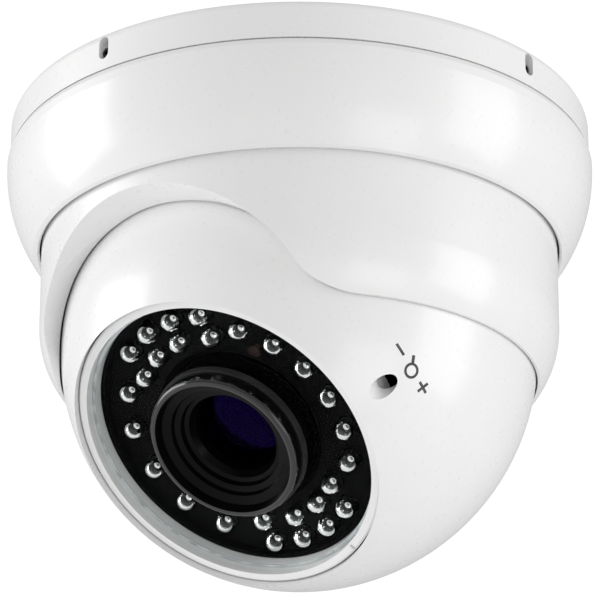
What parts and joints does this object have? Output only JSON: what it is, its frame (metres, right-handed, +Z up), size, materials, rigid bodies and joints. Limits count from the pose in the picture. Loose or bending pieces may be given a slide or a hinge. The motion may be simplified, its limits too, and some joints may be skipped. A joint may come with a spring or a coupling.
{
  "type": "dome cctv camera",
  "caption": "Ceiling-mounted infrared CCTV camera whose lens ball turns and tilts in a collar inside a round painted metal cover ring, with zoom and focus adjusters.",
  "frame": {"origin": "centre of the ceiling screw circle, on the face that lies on the ceiling", "axes": "+Z up out of the ceiling face, so the body hangs towards -Z; the lens looks towards -Y and down at rest; +X is on the zoom adjuster's side"},
  "size_m": [0.1438, 0.1438, 0.1169],
  "materials": {
    "white_paint": "die-cast, white gloss powder coat",
    "raw_casting": "die-cast, bead blasted",
    "bezel_white": "moulded, gloss",
    "foam": "closed-cell foam",
    "clear_seal": "translucent silicone",
    "seal_rubber": "moulded, matt",
    "nylon": "turned nylon",
    "friction_rubber": "moulded, matt",
    "screw_steel": "zinc plated",
    "black_screw": "black oxide",
    "spring_steel": "spring steel, oiled",
    "black_plastic": "glass-filled, fine grain",
    "gland_plastic": "moulded nylon",
    "clear_glass": "toughened, polished",
    "coated_glass": "coated, polished",
    "filter_glass": "coated, polished",
    "lamp_epoxy": "clear cast epoxy",
    "sensor_epoxy": "tinted epoxy",
    "black_board": "solder mask",
    "green_board": "solder mask",
    "board_parts": "moulded packages",
    "sensor_chip": "glass-lidded package",
    "brass": "turned",
    "acetal": "moulded acetal",
    "lens_black": "turned, gloss black",
    "lens_metal": "black anodised"
  },
  "bodies": {
    "base": {"mounting_base": "white_paint", "base_gasket": "foam", "cover_ring": "white_paint", "cover_seal": "seal_rubber", "locking_screws": "black_screw", "pan_stop_screw": "screw_steel", "glide_washer": "nylon", "friction_ring": "friction_rubber", "snap_ring": "spring_steel"},
    "collar": {"pan_collar": "white_paint", "seat_liner": "nylon", "clamp_ring": "raw_casting", "clamp_liner": "friction_rubber", "clamp_screws": "screw_steel"},
    "ball": {"ball_front_shell": "white_paint", "ball_rear_cover": "white_paint", "rear_cover_seal": "seal_rubber", "rear_cover_screws": "screw_steel", "cable_gland": "gland_plastic", "gland_nut": "gland_plastic", "bezel_ring": "bezel_white", "glass_seal": "clear_seal", "window_glass": "clear_glass", "lens_gasket": "seal_rubber", "lamp_mask": "black_plastic", "lamp_board": "black_board", "infrared_lamps": "lamp_epoxy", "light_sensor": "sensor_epoxy", "lamp_board_screws": "screw_steel", "lens_barrel": "lens_black", "front_lens": "coated_glass", "ring_spacer": "brass", "idler_axles": "screw_steel", "camera_chassis": "black_plastic", "adjuster_bridge": "black_plastic", "bridge_screws": "screw_steel", "chassis_screws": "screw_steel", "lens_holder": "black_plastic", "sensor_board": "green_board", "image_sensor": "sensor_chip", "sensor_standoffs": "brass", "sensor_board_screws": "screw_steel", "main_board": "green_board", "board_standoffs": "brass", "main_board_screws": "screw_steel", "main_board_parts": "board_parts"},
    "zoom_ring": {"zoom_ring": "acetal"},
    "focus_ring": {"focus_ring": "acetal"},
    "zoom_idler": {"zoom_idler": "acetal"},
    "focus_idler": {"focus_idler": "acetal"},
    "zoom_adjuster": {"zoom_adjuster": "acetal"},
    "focus_adjuster": {"focus_adjuster": "acetal"},
    "zoom_group": {"zoom_lens_cell": "lens_metal", "zoom_lens": "coated_glass"},
    "focus_group": {"focus_lens_cell": "lens_metal", "focus_lens": "coated_glass"},
    "day_night_filter": {"filter_carrier": "black_plastic", "filter_glass": "filter_glass"}
  },
  "joints": [
    {"name": "pan", "type": "hinge", "parent": "base", "child": "collar", "pos_m": [0, 0, 0], "axis": [0, 0, 1], "range_deg": [-175, 175]},
    {"name": "tilt", "type": "hinge", "parent": "collar", "child": "ball", "pos_m": [0, 0, -0.0594], "axis": [1, 0, 0], "range_deg": [-28, 40]},
    {"name": "zoom_turn", "type": "hinge", "parent": "ball", "child": "zoom_ring", "pos_m": [0, 0, -0.0594], "axis": [0, -0.6401, -0.7683], "range_deg": [-45, 45]},
    {"name": "focus_turn", "type": "hinge", "parent": "ball", "child": "focus_ring", "pos_m": [0, 0, -0.0594], "axis": [0, -0.6401, -0.7683], "range_deg": [-45, 45]},
    {"name": "zoom_idler_turn", "type": "hinge", "parent": "ball", "child": "zoom_idler", "pos_m": [0.0288, -0.00704, -0.06785], "axis": [0, -0.6401, -0.7683], "range_deg": [-71, 71]},
    {"name": "focus_idler_turn", "type": "hinge", "parent": "ball", "child": "focus_idler", "pos_m": [-0.0288, -0.00224, -0.06209], "axis": [0, -0.6401, -0.7683], "range_deg": [-71, 71]},
    {"name": "zoom_adjuster_turn", "type": "hinge", "parent": "ball", "child": "zoom_adjuster", "pos_m": [0.0448, -0.00704, -0.06785], "axis": [0, -0.6401, -0.7683], "range_deg": [-166, 166]},
    {"name": "focus_adjuster_turn", "type": "hinge", "parent": "ball", "child": "focus_adjuster", "pos_m": [-0.0448, -0.00224, -0.06209], "axis": [0, -0.6401, -0.7683], "range_deg": [-166, 166]},
    {"name": "zoom_lens_slide", "type": "slide", "parent": "ball", "child": "zoom_group", "axis": [0, -0.6401, -0.7683], "range_m": [-0.00401, 0.00401]},
    {"name": "focus_lens_slide", "type": "slide", "parent": "ball", "child": "focus_group", "axis": [0, -0.6401, -0.7683], "range_m": [-0.00121, 0.00121]},
    {"name": "filter_slide", "type": "slide", "parent": "ball", "child": "day_night_filter", "axis": [1, 0, 0], "range_m": [0, 0.006]}
  ],
  "couplings": [
    {"joint": "zoom_idler_turn", "follows": "zoom_turn", "ratio": -1.5714},
    {"joint": "zoom_adjuster_turn", "follows": "zoom_turn", "ratio": 3.6667},
    {"joint": "zoom_lens_slide", "follows": "zoom_turn", "m_per_rad": 0.005093},
    {"joint": "focus_idler_turn", "follows": "focus_turn", "ratio": -1.5714},
    {"joint": "focus_adjuster_turn", "follows": "focus_turn", "ratio": 3.6667},
    {"joint": "focus_lens_slide", "follows": "focus_turn", "m_per_rad": 0.0015279}
  ]
}
